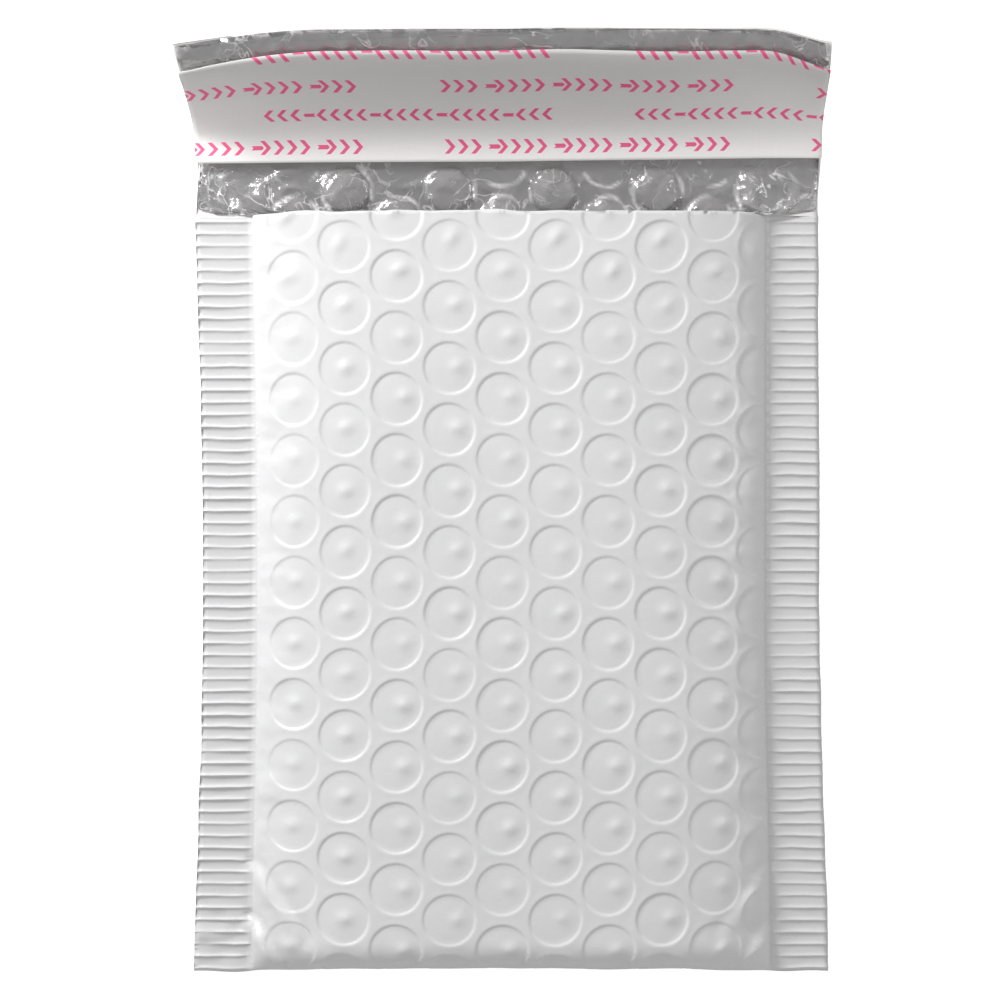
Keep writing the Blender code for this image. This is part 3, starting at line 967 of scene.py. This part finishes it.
def paintedStreaks(graph):
    # painted highlights: thin bright lines in patches, drawn where light would catch the film's creases
    place = graph.node("ShaderNodeTexCoord")
    lines = graph.node("ShaderNodeTexNoise")
    graph.feed(lines.inputs["Vector"], place.outputs["Object"])
    lines.inputs["Scale"].default_value = 190
    lines.inputs["Detail"].default_value = 2.5
    lines.inputs["Distortion"].default_value = 1.2
    patches = graph.node("ShaderNodeTexNoise")
    graph.feed(patches.inputs["Vector"], place.outputs["Object"])
    patches.inputs["Scale"].default_value = 110
    off = graph.math("ABSOLUTE", graph.math("SUBTRACT", lines.outputs["Fac"], 0.5))
    thin = graph.math("SUBTRACT", 1.0, graph.math("DIVIDE", off, 0.022))
    where = graph.math("MULTIPLY_ADD", patches.outputs["Fac"], 5.0, -2.3)
    made = graph.math("MULTIPLY", graph.math("MAXIMUM", thin, 0.0), where)
    made.node.use_clamp = True
    return made


def clearFilm(group):
    made, graph, shader = newMaterial("clear_film")
    surface = useSurface(graph, shader, group, 520, 0.00030, 0.08, 0.24)
    shader.inputs["Base Color"].default_value = (*look["clear"], 1)
    shader.inputs["IOR"].default_value = 1.5
    shader.inputs["Specular IOR Level"].default_value = 0.9
    tilt = graph.node("ShaderNodeLayerWeight")
    tilt.inputs["Blend"].default_value = 0.35
    graph.feed(tilt.inputs["Normal"], surface.outputs["Normal"])
    share = graph.math("MULTIPLY_ADD", tilt.outputs["Facing"], look["clearEdge"], look["clearBody"])
    # painted highlight: bright streaks drawn into the clear film
    share = graph.math("ADD", share, graph.math("MULTIPLY", paintedStreaks(graph), look["paintedStreak"]))
    # painted highlight: bright broken rings drawn about the bubbles past the mouth
    ring = graph.node("ShaderNodeAttribute", attribute_name="paintedRing")
    share = graph.math("MULTIPLY_ADD", ring.outputs["Fac"], look["ring"], share)
    through = graph.node("ShaderNodeBsdfTransparent")
    shine = graph.node("ShaderNodeBsdfGlossy")
    shine.inputs["Roughness"].default_value = 0.16
    graph.feed(shine.inputs["Normal"], surface.outputs["Normal"])
    film = graph.node("ShaderNodeMixShader")
    graph.feed(film.inputs["Fac"], share)
    graph.feed(film.inputs[1], through.outputs[0])
    graph.feed(film.inputs[2], shader.outputs[0])
    mix = graph.node("ShaderNodeMixShader")
    glint = graph.node("ShaderNodeFresnel")
    glint.inputs["IOR"].default_value = 1.5
    graph.feed(glint.inputs["Normal"], surface.outputs["Normal"])
    graph.feed(mix.inputs["Fac"], graph.math("MULTIPLY", glint.outputs[0], look["glint"]))
    graph.feed(mix.inputs[1], film.outputs[0])
    graph.feed(mix.inputs[2], shine.outputs[0])
    out = made.node_tree.nodes["Material Output"]
    graph.feed(out.inputs["Surface"], mix.outputs[0])
    return made


def printMask(graph):
    # rows of small chevrons in long blocks, the last of each group a bar, every other row shifted
    place = graph.node("ShaderNodeUVMap", uv_map="strip")
    split = graph.node("ShaderNodeSeparateXYZ")
    graph.feed(split.inputs[0], place.outputs[0])
    x, t = split.outputs[0], split.outputs[1]
    down = graph.math("SUBTRACT", t, liner["firstRow"])
    row = graph.math("FLOOR", graph.math("DIVIDE", down, liner["rowPitch"]))
    height = graph.math("SUBTRACT", down, graph.math("MULTIPLY", row, liner["rowPitch"]))
    odd = graph.math("MODULO", graph.math("ADD", row, 2.0), 2.0)
    first = liner["blockStart"] - 2 * liner["blockPeriod"]
    offset = graph.math("MULTIPLY_ADD", odd, liner["rowShift"], first)
    along = graph.math("MODULO", graph.math("SUBTRACT", x, offset), liner["blockPeriod"])
    within = graph.math("LESS_THAN", height, liner["markHeight"])
    within = graph.math("MULTIPLY", within, graph.math("GREATER_THAN", height, 0.0))
    half = liner["markHeight"] / 2
    side = graph.math("ABSOLUTE", graph.math("SUBTRACT", height, half))
    facing = graph.math("MULTIPLY_ADD", odd, -2.0, 1.0)
    slant = graph.math("MULTIPLY", graph.math("MULTIPLY", side, facing), liner["strokeSlant"])
    number = graph.math("DIVIDE", graph.math("ADD", along, slant), liner["markPitch"])
    marks = int(liner["blockLength"] / liner["markPitch"])
    within = graph.math("MULTIPLY", within, graph.math("GREATER_THAN", number, 1.0))
    within = graph.math("MULTIPLY", within, graph.math("LESS_THAN", number, marks + 1.0))
    part = graph.math("FRACT", number)
    stroke = graph.math("LESS_THAN", part, liner["strokeShare"])
    group = liner["markGroup"]
    place = graph.math("FRACT", graph.math("DIVIDE", graph.math("FLOOR", number), float(group)))
    last = graph.math("GREATER_THAN", place, (group - 1.5) / group)
    bar = graph.math("LESS_THAN", side, half * liner["barHeight"])
    bar = graph.math("MULTIPLY", bar, graph.math("LESS_THAN", part, liner["barShare"]))
    stroke = graph.math("MULTIPLY", stroke, graph.math("SUBTRACT", 1.0, last))
    shape = graph.math("ADD", stroke, graph.math("MULTIPLY", bar, last))
    return graph.math("MULTIPLY", within, shape)


def linerPaper(group):
    made, graph, shader = newMaterial("liner_paper")
    surface = useSurface(graph, shader, group, 1500, 0.00002, 0.42, 0.60)
    tint = graph.blend(surface.outputs["Value"], (*look["paper"], 1), (*look["paperDark"], 1))
    place = graph.node("ShaderNodeSeparateXYZ")
    graph.feed(place.inputs[0], graph.node("ShaderNodeUVMap", uv_map="strip").outputs[0])
    up = graph.math("DIVIDE", place.outputs[1], liner["width"])
    # painted shade: the paper is drawn darker towards the strip's upper edge, where the steeper strip turns
    # from the light
    tint = graph.blend(up, tint, (*look["paperPaintedShade"], 1))
    colour = graph.blend(printMask(graph), tint, (*look["print"], 1))
    graph.feed(shader.inputs["Base Color"], colour)
    # painted light: the paper glows in its own colour, strongest at the strip's lower edge and fading to
    # nothing at its upper one
    graph.feed(shader.inputs["Emission Color"], colour)
    glow = graph.math("MULTIPLY_ADD", up, -look["paperPaintedGlow"], look["paperPaintedGlow"])
    graph.feed(shader.inputs["Emission Strength"], glow)
    return made


def adhesive(group):
    made, graph, shader = newMaterial("hot_melt")
    useSurface(graph, shader, group, 600, 0.00004, 0.15, 0.35)
    shader.inputs["Base Color"].default_value = (*look["glue"], 1)
    return made


makeRoom()
print("room made")
fillBubbleGrid()
filmGroup = surfaceGroup()
makeFilm((whiteFilm(filmGroup), greyFilm(filmGroup), sealedFilm(filmGroup)))
makeLining((clearFilm(filmGroup),))
makeLiner((linerPaper(filmGroup),))
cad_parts["adhesive_strip"].data.materials[0] = adhesive(filmGroup)
print("pieces made")
